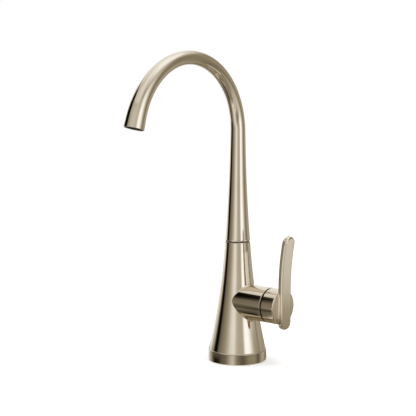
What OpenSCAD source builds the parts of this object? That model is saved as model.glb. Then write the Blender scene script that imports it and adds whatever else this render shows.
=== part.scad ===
// Cold beverage faucet: a trumpet body on a base ring, a gooseneck spout that
// swivels on it, and a side lever that turns a ceramic disc valve.
// The origin is the centre of the deck hole on the deck surface. +Z is up, the
// spout reaches toward -Y and the valve hub with its lever points toward +X.

/* [Base] */
// Diameter of the base ring
base_d = 51.5; // [49.5:0.5:56]
// Height of the base ring
base_h = 10; // [8:0.5:13]
// Radius of the rounded upper edge of the base ring
base_edge = 0.8; // [0.3:0.1:1.5]
// How far the body foot stands in from the edge of the base ring
foot_step = 0.6; // [0.2:0.1:1.2]
// Height of the spigot that centres the body on the base ring
foot_spigot_h = 5.8; // [4:0.2:8]
// Thickness of the rubber gasket under the base ring
gasket_t = 1.6; // [1:0.1:2.5]

/* [Body] */
// Height of the top of the body above the deck
body_top_z = 106.2; // [100:0.2:120]
// Radius of the body at the swivel joint
body_top_r = 11.1; // [10.6:0.1:13]
// Depth of the hollow curve of the body side, below a straight cone
body_sag = 1.9; // [0.5:0.1:2.6]
// Wall of the body shell
body_wall = 2.6; // [1.8:0.1:3]

/* [Valve hub] */
// Height of the lever axis above the deck
hub_z = 53.7; // [50:0.1:60]
// Radius of the hub and of the handle cap
hub_r = 15.4; // [15:0.1:17]
// Distance of the hub end from the body axis
hub_end_x = 36.9; // [36:0.1:42]
// Wall of the hub round the valve body
hub_wall = 2.7; // [2:0.1:3.2]

/* [Handle] */
// Width of the dark gap between the hub and the handle cap
cap_gap = 1.2; // [0.8:0.1:2]
// Length of the handle cap
cap_len = 12.9; // [12:0.1:16]
// Wall of the skirt of the handle cap
cap_wall = 2; // [1.4:0.1:2.4]
// Width of the lever
lever_w = 13.2; // [11:0.1:15]
// Thickness of the lever
lever_t = 4.4; // [3.6:0.1:6]
// Radius of the front edges of the lever
lever_edge = 1.5; // [0.8:0.1:1.7]
// Height of the tip of the lever above its axis
lever_up = 63.3; // [50:0.1:75]
// Depth of the lower end of the lever below its axis
lever_down = 19.4; // [17:0.1:24]
// Height above the axis at which the lever begins to lean out
lever_bend = 17; // [14:0.5:24]
// How far the tip of the lever leans out
lever_lean = 4.2; // [1:0.1:8]
// Angle that the lever turns from shut to fully open
lever_turn = 90; // [60:5:100]
// Radius of the fillet where the sides of the lever meet the face of the cap
lever_fillet = 1.5; // [0.8:0.1:2]

/* [Spout] */
// Radius of the spout foot at the swivel joint
foot_r = 11.05; // [10.6:0.05:13]
// Radius of the spout at its narrowest, just past the top of the arch
neck_r = 6.0; // [5:0.1:8]
// Radius of the spout at its outlet
tip_r = 8.8; // [8:0.1:10]
// Height at which the post ends and the arch begins
spring_z = 203.3; // [160:0.1:240]
// Radius of the arch, along the middle of the tube
arch_r = 66.8; // [50:0.1:90]
// Angle that the arch turns through
arch_sweep = 162; // [150:1:178]
// Length of the straight end past the arch
outlet_len = 8.8; // [6:0.2:20]
// Angle along the arch at which the spout is narrowest
neck_angle = 95; // [70:1:120]
// How quickly the post narrows above the joint
taper_power = 3.4; // [2:0.1:4]
// How quickly the spout widens toward the outlet
flare_power = 1.35; // [1:0.05:2]
// Wall of the spout tube
spout_wall = 1.4; // [1:0.1:1.6]

/* [Swivel] */
// Thickness of the ring between the body and the spout
swivel_ring_t = 0.9; // [0.6:0.1:1.5]
// Radius of the spigot that the spout turns on
spigot_r = 6; // [5.6:0.1:6.2]
// Bore radius of the spigot
spigot_bore_r = 3; // [2:0.1:3.2]
// Length of the bush in the spout foot
bush_len = 31; // [26:1:32]
// Thickness of the snap ring that holds the spout down
clip_t = 1.2; // [0.8:0.1:1.6]

/* [Outlet] */
// How far the flow straightener stands in from the rim of the outlet
straightener_inset = 0.3; // [0.2:0.1:1.5]
// Thickness of the flange of the flow straightener
straightener_flange_t = 1.2; // [0.8:0.1:2]
// Length of the flow straightener
straightener_len = 9; // [6:0.5:12]
// Distance between the centres of the outlet cells
cell_pitch = 2.4; // [2:0.1:4]
// Thickness of the webs between the outlet cells
cell_web = 0.6; // [0.4:0.1:1]
// Thickness of the outlet screen
screen_t = 0.8; // [0.5:0.1:1.2]

/* [Valve] */
// Radius of the cartridge bore in the valve body
cartridge_r = 9; // [8.4:0.1:9.4]
// Distance of the floor of the cartridge bore from the body axis
valve_floor_x = 8; // [7:0.5:9]
// Thickness of the rubber seat under the fixed disc
seat_t = 1.6; // [1:0.1:2.2]
// Thickness of each ceramic disc
disc_t = 3; // [2.5:0.1:3.5]
// Radius of the two water ports in the fixed disc
port_r = 2.4; // [1.6:0.1:2.8]
// Distance of each water port from the lever axis
port_offset = 4.3; // [3.8:0.1:4.6]
// Radius of the valve stem
stem_r = 3.5; // [3:0.1:4]
// Angle of the tab on the stem that meets the stops
tab_angle = 50; // [40:5:70]

/* [Mounting] */
// Thickness of the deck that the faucet is clamped to
deck_t = 25; // [12:1:38]
// Radius of the threaded mounting shank
shank_r = 11; // [9.6:0.1:12]
// Bore radius of the mounting shank
shank_bore_r = 6; // [5.4:0.1:6.6]
// Length of the mounting shank below the deck
shank_len = 60; // [56:1:80]
// Thickness of the rubber washer under the deck
rubber_t = 3; // [2:0.5:5]
// Thickness of the metal washer
washer_t = 1.5; // [1:0.1:2.5]
// Width of the mounting nut across its flats
nut_af = 34; // [32:1:40]
// Height of the mounting nut
nut_h = 12; // [8:1:14]
// Radius of the inlet tube
tube_r = 4.75; // [4.4:0.05:5.2]
// Wall of the inlet tube
tube_wall = 0.9; // [0.7:0.1:1.2]
// Radius of the thread of the inlet fitting
inlet_r = 7.1; // [6.8:0.1:8]
// Length of the thread of the inlet fitting
inlet_len = 14; // [10:1:18]

/* [Clearances] */
// Radial clearance of a part that turns or slides in a bore
running = 0.05; // [0.02:0.01:0.1]
// Radial clearance of a part that is fixed in place
fitted = 0.1; // [0.05:0.01:0.2]
// Gap between a curved part and the next one that moves
clear = 0.3; // [0.3:0.05:0.5]

/* [Hidden] */

fine = 128;
nickel = "#b9a88c";
brushed = "#8f8068";
brass = "#c2a14d";
rubber = "#1c1c1c";
acetal = "#26262a";
ceramic = "#efece4";
steel = "#b7babd";
// A cut runs this far past the face that it opens
past = 1;
// A socket runs this much deeper than the part that it holds
relief = 0.2;

// Body
base_r = base_d / 2;
gasket_inset = 2.3;
gasket_w = 4.2;
gasket_r = base_r - gasket_inset;
gasket_bore_r = gasket_r - gasket_w;
body_foot_r = base_r - foot_step;
foot_ledge = 0.6;
foot_bore_r = body_foot_r - body_wall - foot_ledge;
joint_edge = 0.5;
neck_bore_len = 8;
neck_bore_z = body_top_z - neck_bore_len;
neck_bore_r = body_top_r - body_wall - fitted;

// Valve, along the lever axis from the body axis outward
valve_r = hub_r - hub_wall - fitted;
valve_back_x = -9.5;
valve_back_r = 12.8;
hub_thread_depth = 0.5;
hub_thread_len = 7;
hub_thread_r = hub_r - hub_wall + hub_thread_depth;
hub_thread_x = hub_end_x - hub_thread_len;
valve_end_x = hub_thread_x;
fixed_disc_x = valve_floor_x + seat_t;
moving_disc_x = fixed_disc_x + disc_t;
stem_foot_x = moving_disc_x + disc_t;
stem_foot_t = 3.4;
sleeve_wall = 0.9;
sleeve_r = cartridge_r - fitted;
sleeve_bore_r = sleeve_r - sleeve_wall;
sleeve_shoulder_x = stem_foot_x + stem_foot_t + clear;
flange_t = 2;
flange_r = valve_r - 0.9;
sleeve_neck_r = 6.2;
sleeve_neck_len = 5;
stop_len = 2.6;
stop_play = 1;
sleeve_end_x = valve_end_x + flange_t + sleeve_neck_len;
nut_x = valve_end_x + flange_t;
cartridge_nut_t = 3;
nut_slot_w = 3;
nut_slot_h = 1.4;
disc_r = sleeve_bore_r - fitted;
pocket_depth = 1.6;
drive_bar_w = 2.8;
drive_bar_h = 0.9;
drive_slot_w = drive_bar_w + 2 * fitted;
drive_slot_h = drive_bar_h + relief;

// Ring seals: radius of the section, and width and depth of the groove
stem_seal_r = 0.45;
stem_groove_w = 1.6;
stem_groove_h = 1;
stem_seal_pitch = 3.5;
stem_seal_x = [sleeve_shoulder_x + stem_seal_pitch, sleeve_shoulder_x + 2 * stem_seal_pitch];
sleeve_seal_r = 0.7;
sleeve_groove_w = 2;
sleeve_groove_h = 1.4;
sleeve_seal_x = sleeve_shoulder_x + 4;
spigot_seal_r = 0.8;
spigot_groove_w = 2.2;
spigot_groove_h = 1.7;
inlet_seal_r = 0.65;
inlet_groove_w = 3.4;
inlet_seal_z = hub_z - valve_r + 2.7;
outlet_seal_r = 0.45;
outlet_groove_w = 1.2;
outlet_groove_h = 0.5;

// Handle
cap_x = hub_end_x + cap_gap;
cap_end_x = cap_x + cap_len;
cap_bore_r = hub_r - cap_wall;
cap_floor_t = 4.6;
cap_floor_x = cap_end_x - cap_floor_t;
cap_edge = 0.7;
cap_back_edge = 0.2;
fillet_sink = 0.02;
fillet_runout = 2;
lever_sink = 0.5;
lever_front_x = cap_end_x + lever_t - lever_sink;
lever_back_x = lever_front_x - lever_t;
lever_back_edge = 0.6;
boss_r = 7.4;
guide_lap = 2.6;
guide_bore_gap = 1.6;
guide_flange_step = 0.6;
stem_grip = 1.6;
stem_end_x = cap_floor_x + stem_grip;
stem_flat = stem_r - 0.8;
screw_x = cap_x + 3.4;
screw_r = 2;
screw_len = 4.6;
screw_socket_af = 1.9;

// Swivel
spout_foot_z = body_top_z + swivel_ring_t + 0.1;
spigot_depth = 5.6;
spigot_past = 1.5;
spigot_socket_z = hub_z + valve_r - spigot_depth;
spigot_top_z = spout_foot_z + bush_len + spigot_past;
// The bush is stepped to follow the bore of the tapering post
bush_lead = 1.15;
bush_foot_r = foot_r - spout_wall - bush_lead;
bush_foot_h = 9;
bush_step = 1.4;
bush_r = bush_foot_r - bush_step;
bush_bore_r = spigot_r + running;
clip_up = 4;
clip_z = spout_foot_z + clip_up;
clip_groove = 1;
clip_split = 3;
swivel_ring_step = 0.8;
collar_h = 6;
upper_seal_up = 13;
upper_seal_pitch = 9;
lower_seal_up = 2.2;
upper_seal_z = [spout_foot_z + upper_seal_up, spout_foot_z + upper_seal_up + upper_seal_pitch];
lower_seal_z = spigot_socket_z + lower_seal_up;
spigot_seal_z = concat([lower_seal_z], upper_seal_z);

// Spout
post_len = spring_z - spout_foot_z;
arch_len = arch_r * arch_sweep * PI / 180;
spout_len = post_len + arch_len + outlet_len;
neck_s = post_len + arch_r * neck_angle * PI / 180;
outer_sides = 40;
outer_rings = 60;
inner_sides = 24;
inner_rings = 40;
tip_edge = 0.25;
outlet_rim = 0.6;
outlet_seat_r = tip_r - outlet_rim;
straightener_flange_r = outlet_seat_r - fitted;
plug_lead = 0.9;
plug_r = tip_r - spout_wall - plug_lead;
plug_rim = 0.6;
screen_pitch = 1.9;
screen_hole_r = 0.6;

// Mounting, downward from the deck
web_z = 3;
web_r = 17;
shank_flange_r = 15;
shank_flange_t = 3.5;
rubber_r = 23.5;
washer_r = 22;
rubber_z = -deck_t - rubber_t;
washer_z = rubber_z - washer_t;
nut_z = washer_z - nut_h;
inlet_hex_af = 17;
inlet_hex_h = 8;
inlet_z = -shank_len - inlet_hex_h - inlet_len;
tube_foot_depth = 4;
tube_top_depth = 5;
tube_foot_z = -shank_len - inlet_hex_h - tube_foot_depth;
tube_top_z = hub_z - valve_r + tube_top_depth;
inlet_cone_h = 2.4;

// Removes the sharp outer corner of a profile at x, z and leaves an edge of radius r
module corner_cut(x, z, r, up = 1) {
    difference() {
        translate([x - r, up > 0 ? z - r : z - past])
            square([r + past, r + past]);
        translate([x - r, z - up * r])
            circle(r = r, $fn = 48);
    }
}

// A ring of round section, lying flat and centred at height z
module o_ring(centre_r, section_r, z = 0) {
    translate([0, 0, z])
        rotate_extrude($fn = 64)
            translate([centre_r, 0])
                circle(r = section_r, $fn = 20);
}

// A plain tube between two heights
module tube(outer_r, inner_r, z0, z1) {
    translate([0, 0, z0])
        difference() {
            cylinder(r = outer_r, h = z1 - z0, $fn = fine);
            translate([0, 0, -past])
                cylinder(r = inner_r, h = z1 - z0 + 2 * past, $fn = fine);
        }
}

// Lays what is drawn along +Z out along the lever axis
module on_lever_axis(x = 0) {
    translate([x, 0, hub_z])
        rotate([0, 90, 0])
            children();
}

// Side of the body: a chord from foot to top, less a circle that hollows it by the sag.
// inset moves the curve toward the axis for the inside of the wall.
module body_profile(z0, z1, inset) {
    rise = body_top_z - base_h;
    run = body_foot_r - body_top_r;
    chord = sqrt(rise * rise + run * run);
    curve_r = chord * chord / (8 * body_sag) + body_sag / 2;
    reach = curve_r - body_sag;
    centre = [(body_foot_r + body_top_r) / 2 + reach * rise / chord,
              (base_h + body_top_z) / 2 + reach * run / chord];
    difference() {
        translate([0, z0])
            square([body_foot_r + 2, z1 - z0]);
        translate(centre)
            circle(r = curve_r + inset, $fn = 720);
    }
}

module base_ring() color(brushed) {
    difference() {
        rotate_extrude($fn = fine)
            difference() {
                union() {
                    translate([web_r, 0])
                        square([base_r - web_r, base_h]);
                    translate([shank_r + running, web_z])
                        square([base_r - shank_r - 5, base_h - web_z]);
                    translate([web_r, base_h - past])
                        square([foot_bore_r - fitted - web_r, foot_spigot_h + past]);
                }
                corner_cut(base_r, base_h, base_edge);
                corner_cut(base_r, 0, base_edge / 2, -1);
            }
        // Groove for the gasket
        tube(gasket_r + fitted, gasket_bore_r - fitted, -past, gasket_t);
    }
}

module base_gasket() color(rubber) {
    tube(gasket_r, gasket_bore_r, 0, gasket_t);
}

module body_shell() color(nickel) {
    difference() {
        union() {
            rotate_extrude($fn = fine)
                difference() {
                    body_profile(base_h, body_top_z, 0);
                    corner_cut(body_top_r, body_top_z, joint_edge);
                }
            on_lever_axis()
                cylinder(r = hub_r, h = hub_end_x, $fn = fine);
        }
        // Cavity, its wall parallel to the outside
        rotate_extrude($fn = fine)
            body_profile(base_h + foot_spigot_h, neck_bore_z, body_wall);
        // Counterbore that drops over the spigot of the base ring
        translate([0, 0, base_h - past])
            cylinder(r = foot_bore_r, h = foot_spigot_h + past + relief, $fn = fine);
        // Neck that holds the collar of the outlet spigot
        translate([0, 0, neck_bore_z - past])
            cylinder(r = neck_bore_r, h = body_top_z - neck_bore_z + 2 * past, $fn = fine);
        // Hub bore for the valve body, and its threaded mouth
        on_lever_axis()
            cylinder(r = hub_r - hub_wall, h = hub_end_x + past, $fn = fine);
        on_lever_axis(hub_thread_x)
            cylinder(r = hub_thread_r, h = hub_end_x - hub_thread_x + past, $fn = fine);
    }
}

module valve_body() color(brass) {
    difference() {
        union() {
            on_lever_axis()
                cylinder(r = valve_r, h = valve_end_x, $fn = fine);
            // The back is turned round so that it nests inside the body
            intersection() {
                on_lever_axis(valve_back_x)
                    cylinder(r = valve_r, h = past - valve_back_x, $fn = fine);
                translate([0, 0, hub_z - hub_r])
                    cylinder(r = valve_back_r, h = 2 * hub_r, $fn = fine);
            }
        }
        on_lever_axis(valve_floor_x)
            cylinder(r = cartridge_r, h = valve_end_x - valve_floor_x + past, $fn = fine);
        // Two ports through the floor, inlet below and outlet above
        for (side = [-1, 1])
            translate([0, 0, side * port_offset])
                on_lever_axis()
                    cylinder(r = port_r, h = valve_floor_x + past, $fn = 48);
        // Inlet riser and the socket of its tube
        translate([0, 0, hub_z - valve_r - past])
            cylinder(r = tube_r - tube_wall, h = valve_r - port_offset + past, $fn = 64);
        translate([0, 0, hub_z - valve_r - past])
            cylinder(r = tube_r + fitted, h = past + tube_top_depth + relief, $fn = 64);
        // Groove of the inlet seal, open below
        translate([0, 0, hub_z - valve_r - past])
            cylinder(r = tube_r + 2 * inlet_seal_r + 2 * fitted, h = past + inlet_groove_w, $fn = 64);
        // Outlet riser and the socket of the spigot
        translate([0, 0, hub_z + port_offset])
            cylinder(r = spigot_bore_r, h = valve_r, $fn = 64);
        translate([0, 0, spigot_socket_z])
            cylinder(r = spigot_r + fitted, h = valve_r, $fn = 64);
    }
}

module seat_seal() color(rubber) {
    on_lever_axis(valve_floor_x)
        difference() {
            cylinder(r = disc_r, h = seat_t, $fn = 64);
            for (side = [-1, 1])
                translate([side * port_offset, 0, -past])
                    cylinder(r = port_r, h = seat_t + 2 * past, $fn = 48);
        }
}

module fixed_disc() color(ceramic) {
    on_lever_axis(fixed_disc_x)
        difference() {
            cylinder(r = disc_r, h = disc_t, $fn = 64);
            for (side = [-1, 1])
                translate([side * port_offset, 0, -past])
                    cylinder(r = port_r, h = disc_t + 2 * past, $fn = 48);
        }
}

// The pocket in its face joins the two ports only when the lever is turned open
module moving_disc() color(ceramic) {
    on_lever_axis(moving_disc_x)
        difference() {
            cylinder(r = disc_r - fitted, h = disc_t - 0.1, $fn = 64);
            for (side = [-1, 1])
                translate([0, side * port_offset, -past])
                    cylinder(r = port_r, h = past + pocket_depth, $fn = 48);
            translate([-port_r / 2, -port_offset, -past])
                cube([port_r, 2 * port_offset, past + pocket_depth]);
            // Slot for the drive bar of the stem
            translate([-drive_slot_w / 2, -disc_r, disc_t - drive_slot_h])
                cube([drive_slot_w, 2 * disc_r, past + drive_slot_h]);
        }
}

module valve_stem() color(brass) {
    // Foot with the bar that drives the moving disc
    on_lever_axis(stem_foot_x)
        cylinder(r = disc_r - 0.4, h = stem_foot_t, $fn = 64);
    on_lever_axis(stem_foot_x - drive_bar_h)
        intersection() {
            translate([-drive_bar_w / 2, -disc_r, 0])
                cube([drive_bar_w, 2 * disc_r, drive_bar_h + past / 2]);
            cylinder(r = disc_r - 0.6, h = drive_bar_h + past, $fn = 64);
        }
    // Spindle with its seal groove, and a flat for the set screw
    difference() {
        on_lever_axis(stem_foot_x + past)
            cylinder(r = stem_r, h = stem_end_x - stem_foot_x - past, $fn = 64);
        for (x = stem_seal_x)
            on_lever_axis()
                tube(stem_r + past, stem_r - stem_groove_h, x - stem_groove_w / 2, x + stem_groove_w / 2);
        on_lever_axis(cap_x)
            translate([stem_flat, -2 * stem_r, 0])
                cube([2 * stem_r, 4 * stem_r, stem_end_x]);
    }
    // Tab that runs between the stops of the sleeve
    on_lever_axis(sleeve_end_x - stop_len + relief)
        rotate([0, 0, 180 - tab_angle / 2])
            rotate_extrude(angle = tab_angle, $fn = 64)
                translate([stem_r - 0.3, 0])
                    square([sleeve_neck_r - stem_r + fitted, stop_len - 2 * relief]);
}

module stem_seals() color(rubber) {
    for (x = stem_seal_x)
        on_lever_axis(x)
            o_ring(stem_r - stem_seal_r - running, stem_seal_r);
}

module cartridge_sleeve() color(brass) {
    window_angle = lever_turn + tab_angle + 2 * stop_play;
    difference() {
        union() {
            on_lever_axis(valve_floor_x + 0.3)
                cylinder(r = sleeve_r, h = valve_end_x - valve_floor_x, $fn = fine);
            on_lever_axis(valve_end_x)
                cylinder(r = flange_r, h = flange_t, $fn = fine);
            on_lever_axis(valve_end_x + past)
                cylinder(r = sleeve_neck_r, h = sleeve_end_x - valve_end_x - past, $fn = fine);
        }
        // Chamber for the two discs and the foot of the stem
        on_lever_axis(valve_floor_x)
            cylinder(r = sleeve_bore_r, h = sleeve_shoulder_x - valve_floor_x, $fn = fine);
        // Bearing of the stem
        on_lever_axis(valve_floor_x)
            cylinder(r = stem_r + running, h = sleeve_end_x, $fn = fine);
        // Groove of the outer seal
        on_lever_axis(sleeve_seal_x - sleeve_groove_w / 2)
            tube(sleeve_r + past, sleeve_r - sleeve_groove_h, 0, sleeve_groove_w);
        // Window that the tab of the stem sweeps, from shut to open
        on_lever_axis(sleeve_end_x - stop_len)
            rotate([0, 0, 180 - tab_angle / 2 - stop_play])
                rotate_extrude(angle = window_angle, $fn = 64)
                    translate([stem_r - 0.5, 0])
                        square([sleeve_neck_r, stop_len + past]);
    }
}

module cartridge_seal() color(rubber) {
    on_lever_axis(sleeve_seal_x)
        o_ring(sleeve_r - sleeve_seal_r, sleeve_seal_r);
}

module cartridge_nut() color(brass) {
    on_lever_axis(nut_x)
        difference() {
            cylinder(r = hub_thread_r - running, h = cartridge_nut_t, $fn = fine);
            translate([0, 0, -past])
                cylinder(r = sleeve_neck_r + 0.4, h = cartridge_nut_t + 2 * past, $fn = fine);
            // Slots for a spanner
            translate([-nut_slot_w / 2, -hub_r, cartridge_nut_t - nut_slot_h])
                cube([nut_slot_w, 2 * hub_r, past + nut_slot_h]);
        }
}

// Black ring pressed into the mouth of the hub. The skirt of the cap turns round it,
// and its flange keeps the skirt off the end of the hub.
module guide_ring() color(acetal) {
    guide_x = nut_x + cartridge_nut_t;
    guide_end_x = cap_x + guide_lap;
    on_lever_axis(guide_x)
        difference() {
            union() {
                cylinder(r = hub_thread_r - running, h = guide_end_x - guide_x, $fn = fine);
                translate([0, 0, hub_end_x - guide_x])
                    cylinder(r = hub_r - guide_flange_step, h = cap_gap - clear, $fn = fine);
            }
            translate([0, 0, -past])
                cylinder(r = boss_r + guide_bore_gap, h = guide_end_x - guide_x + 2 * past, $fn = fine);
        }
}

// Slab of the lever seen from above: y is its width and x its thickness.
// The front edges are round and the back edges are nearly sharp. The inset
// makes it a little slimmer all round.
module lever_section(half = false, inset = 0) {
    w = lever_w / 2 - inset;
    t = lever_t - inset;
    b = lever_back_edge;
    f = lever_edge;
    difference() {
        translate([inset, half ? 0 : -w])
            square([t - inset, half ? w : 2 * w]);
        for (s = half ? [1] : [-1, 1]) {
            difference() {
                translate([t - f, s > 0 ? w - f : -w - past])
                    square([f + past, f + past]);
                translate([t - f, s * (w - f)])
                    circle(r = f, $fn = 32);
            }
            difference() {
                translate([inset - past, s > 0 ? w - b : -w - past])
                    square([b + past, b + past]);
                translate([inset + b, s * (w - b)])
                    circle(r = b, $fn = 24);
            }
        }
    }
}

// Half a round end of the lever, its flat side at z = 0 and its round side below
module lever_end(inset = 0) {
    rotate([0, 90, 0])
        rotate([0, 0, -90])
            rotate_extrude(angle = 180, $fn = 64)
                mirror([1, -1])
                    lever_section(half = true, inset = inset);
}

// Upright bar in the corner between a side of the lever and the face of the cap,
// its outside hollowed to the radius of the fillet
module lever_fillet_bar(side) {
    reach = lever_fillet - fillet_sink;
    inner_y = lever_w / 2 - lever_sink;
    width = lever_sink + reach;
    translate([0, 0, hub_z - hub_r])
        linear_extrude(2 * hub_r)
            difference() {
                translate([cap_end_x - lever_sink, side > 0 ? inner_y : -inner_y - width])
                    square(width);
                translate([cap_end_x + reach, side * (lever_w / 2 + reach)])
                    circle(r = lever_fillet, $fn = 48);
            }
}

module lever_handle() color(nickel) {
    straight_z0 = -lever_down + lever_w / 2;
    lean_h = lever_up - lever_w / 2 - lever_bend;
    lean_angle = 2 * atan(lever_lean / (lever_up - lever_bend));
    lean_r = lean_h / sin(lean_angle);
    // The leaning part starts just inside the straight part
    lap_angle = 0.1;
    lap_inset = 0.01;
    runout_r = hub_r - cap_edge;
    difference() {
        union() {
            // Cap with its rounded rim
            on_lever_axis(cap_x)
                rotate_extrude($fn = fine)
                    difference() {
                        square([hub_r, cap_len]);
                        corner_cut(hub_r, cap_len, cap_edge);
                        corner_cut(hub_r, 0, cap_back_edge, -1);
                    }
            // Fillets beside the lever, running out before the rim of the cap
            for (side = [-1, 1])
                intersection() {
                    lever_fillet_bar(side);
                    on_lever_axis(cap_end_x - lever_sink)
                        cylinder(r1 = runout_r, r2 = runout_r - fillet_runout * lever_fillet,
                                 h = lever_fillet + lever_sink, $fn = fine);
                }
        }
        // Hollow of the skirt round the boss
        on_lever_axis(cap_x - past)
            difference() {
                cylinder(r = cap_bore_r, h = cap_floor_x - cap_x + past, $fn = fine);
                cylinder(r = boss_r, h = cap_len, $fn = fine);
            }
        // Socket of the stem, with the flat that keys it
        on_lever_axis(cap_x - past)
            difference() {
                cylinder(r = stem_r + fitted, h = stem_end_x - cap_x + past + relief, $fn = 64);
                translate([stem_flat + fitted, -2 * stem_r, -past])
                    cube([2 * stem_r, 4 * stem_r, cap_len + 3 * past]);
            }
        // Set screw hole through the skirt and the boss, on the underside
        translate([screw_x, 0, hub_z - hub_r - past])
            cylinder(r = screw_r + 0.4, h = hub_r - boss_r + past, $fn = 48);
        translate([screw_x, 0, hub_z - boss_r - past])
            cylinder(r = screw_r + running, h = boss_r + past - stem_flat, $fn = 48);
    }
    // Straight lower part of the lever, its round foot, the lean and the round tip
    translate([lever_back_x, 0, hub_z]) {
        translate([0, 0, straight_z0]) {
            linear_extrude(lever_bend - straight_z0)
                lever_section();
            lever_end();
        }
        translate([lean_r, 0, lever_bend]) {
            rotate([90, 0, 0])
                rotate([0, 0, 180 - lean_angle])
                    rotate_extrude(angle = lean_angle + lap_angle, $fn = 720)
                        translate([lean_r, 0])
                            mirror([1, 0])
                                lever_section(inset = lap_inset);
            rotate([0, lean_angle, 0])
                translate([-lean_r, 0, 0])
                    mirror([0, 0, 1])
                        lever_end(lap_inset);
        }
    }
}

module handle_set_screw() color(steel) {
    translate([screw_x, 0, hub_z - stem_flat - screw_len])
        difference() {
            cylinder(r = screw_r, h = screw_len, $fn = 48);
            translate([0, 0, -past])
                cylinder(r = screw_socket_af / sqrt(3), h = past + screw_len / 2, $fn = 6);
        }
}

module outlet_spigot() color(brass) {
    difference() {
        union() {
            translate([0, 0, spigot_socket_z])
                cylinder(r = spigot_r, h = spigot_top_z - spigot_socket_z, $fn = fine);
            translate([0, 0, body_top_z - collar_h])
                cylinder(r = neck_bore_r - running, h = collar_h, $fn = fine);
        }
        translate([0, 0, spigot_socket_z - past])
            cylinder(r = spigot_bore_r, h = spigot_top_z - spigot_socket_z + 2 * past, $fn = 64);
        for (z = spigot_seal_z)
            tube(spigot_r + past, spigot_r - spigot_groove_h,
                 z - spigot_groove_w / 2, z + spigot_groove_w / 2);
        tube(spigot_r + past, spigot_r - clip_groove, clip_z - fitted, clip_z + clip_t + fitted);
    }
}

module spigot_seals() color(rubber) {
    for (z = spigot_seal_z)
        o_ring(spigot_r - spigot_seal_r - running, spigot_seal_r, z);
}

module swivel_ring() color(acetal) {
    tube(body_top_r - swivel_ring_step, spigot_r + fitted, body_top_z, body_top_z + swivel_ring_t);
}

// Split ring that springs into the groove of the bush
module spout_clip() color(steel) {
    difference() {
        tube(spigot_r + clip_groove, spigot_r - clip_groove + fitted, clip_z, clip_z + clip_t);
        translate([0, -clip_split / 2, clip_z - past])
            cube([2 * spigot_r, clip_split, clip_t + 2 * past]);
    }
}

module spout_bush() color(brass) {
    difference() {
        union() {
            translate([0, 0, spout_foot_z + 0.1])
                cylinder(r = bush_foot_r, h = bush_foot_h - 0.1, $fn = fine);
            translate([0, 0, spout_foot_z + past])
                cylinder(r = bush_r, h = bush_len - past, $fn = fine);
        }
        translate([0, 0, spout_foot_z - past])
            cylinder(r = bush_bore_r, h = bush_len + 2 * past, $fn = fine);
        tube(spigot_r + clip_groove + clear, spigot_r - past, clip_z - clear, clip_z + clip_t + clear);
    }
}

// Middle of the spout at a length s along it, and the angle that it has turned
function turn_at(s) = min(arch_sweep, max(0, s - post_len) / arch_r * 180 / PI);
function middle_at(s) =
    let (t = turn_at(s), straight = max(0, s - post_len - arch_len))
    [0,
     -arch_r * (1 - cos(t)) - straight * sin(t),
     spout_foot_z + min(s, post_len) + arch_r * sin(t) + straight * cos(t)];

// Radius at a length s: the post narrows to the neck, then the spout flares to its tip
function radius_at(s) =
    s < neck_s ? neck_r + (foot_r - neck_r) * pow(1 - s / neck_s, taper_power)
               : neck_r + (tip_r - neck_r) * pow((s - neck_s) / (spout_len - neck_s), flare_power);

// One ring of n points round the spout, of radius r, square to its middle line
function ring_at(s, r, n) =
    let (c = middle_at(s), t = turn_at(s))
    [for (k = [0 : n - 1])
        let (a = 360 * k / n)
        [c[0] + r * cos(a), c[1] + r * sin(a) * cos(t), c[2] + r * sin(a) * sin(t)]];

// A swept solid of n sides through rings given as pairs of length and radius
module sweep(rings, n) {
    m = len(rings);
    points = [for (q = rings) each ring_at(q[0], q[1], n)];
    sides = [for (j = [0 : m - 2], k = [0 : n - 1])
        let (a = j * n + k, b = j * n + (k + 1) % n)
        each [[a, b + n, b], [a, a + n, b + n]]];
    foot_face = [[for (k = [0 : n - 1]) k]];
    tip_face = [[for (k = [0 : n - 1]) m * n - 1 - k]];
    polyhedron(points = points, faces = concat(foot_face, sides, tip_face), convexity = 6);
}

module spout_tube() color(nickel) {
    outer_step = spout_len / outer_rings;
    inner_step = spout_len / inner_rings;
    outside = concat(
        [[0, foot_r - joint_edge], [joint_edge, radius_at(joint_edge)]],
        [for (i = [1 : outer_rings - 1]) [i * outer_step, radius_at(i * outer_step)]],
        [[spout_len - tip_edge, tip_r], [spout_len, tip_r - tip_edge]]);
    inside = concat(
        [[-past, foot_r - spout_wall]],
        [for (i = [0 : inner_rings]) [i * inner_step, radius_at(i * inner_step) - spout_wall]],
        [[spout_len + past, tip_r - spout_wall]]);
    difference() {
        sweep(outside, outer_sides);
        sweep(inside, inner_sides);
        // Seat for the flange of the flow straightener
        in_outlet(straightener_len / 2 - straightener_flange_t)
            cylinder(r = outlet_seat_r, h = straightener_flange_t + straightener_inset + past, $fn = fine);
    }
}

// Lays what is drawn along +Z on the middle line at the straightener, +Z pointing out
module in_outlet(z = 0) {
    s = spout_len - straightener_inset - straightener_len / 2;
    translate(middle_at(s))
        rotate([turn_at(s), 0, 0])
            translate([0, 0, z])
                children();
}

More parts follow.
